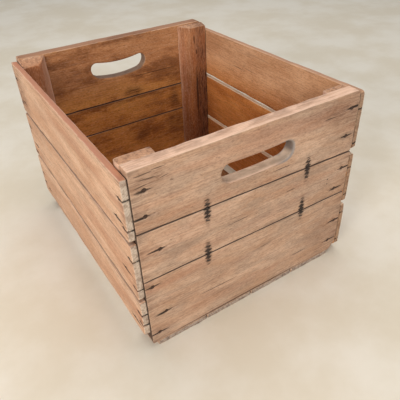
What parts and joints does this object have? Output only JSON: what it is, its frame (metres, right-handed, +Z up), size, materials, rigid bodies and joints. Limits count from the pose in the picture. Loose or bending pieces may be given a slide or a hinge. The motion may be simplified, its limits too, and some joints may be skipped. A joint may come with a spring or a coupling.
{
  "type": "wooden apple crate",
  "caption": "Open wooden harvest crate with nailed side slats, jointed end panels with curved handholds, corner cleats and a boarded bottom, weathered.",
  "frame": {"origin": "centre of the base, on the surface the crate stands on", "axes": "+Z up, Y along the slats with the end that has the larger handhold at -Y, X across the end panels"},
  "size_m": [0.36, 0.414, 0.29],
  "materials": {
    "end_wood": "weathered, unfinished, greyed by sun and handling",
    "cleat_wood": "rough sawn, unfinished, greyed on the outside",
    "slat_wood": "rough sawn, unfinished, sun-bleached tan",
    "bottom_wood": "rough sawn, unfinished, darkened with dirt",
    "nail_steel": "rusty, dull",
    "fastener_steel": "rusty, dull"
  },
  "bodies": {
    "root": {"front_end_top_board": "end_wood", "front_end_middle_board": "end_wood", "front_end_bottom_board": "end_wood", "back_end_top_board": "end_wood", "back_end_middle_board": "end_wood", "back_end_bottom_board": "end_wood", "front_left_cleat": "cleat_wood", "front_right_cleat": "cleat_wood", "back_left_cleat": "cleat_wood", "back_right_cleat": "cleat_wood", "left_top_slat": "slat_wood", "left_middle_slat": "slat_wood", "left_bottom_slat": "slat_wood", "right_top_slat": "slat_wood", "right_middle_slat": "slat_wood", "right_bottom_slat": "slat_wood", "bottom_board_left": "bottom_wood", "bottom_board_mid_left": "bottom_wood", "bottom_board_mid_right": "bottom_wood", "bottom_board_right": "bottom_wood", "front_cleat_nails": "nail_steel", "back_cleat_nails": "nail_steel", "left_slat_nails": "nail_steel", "right_slat_nails": "nail_steel", "bottom_board_nails": "nail_steel", "front_corrugated_fasteners": "fastener_steel", "back_corrugated_fasteners": "fastener_steel"}
  },
  "joints": []
}
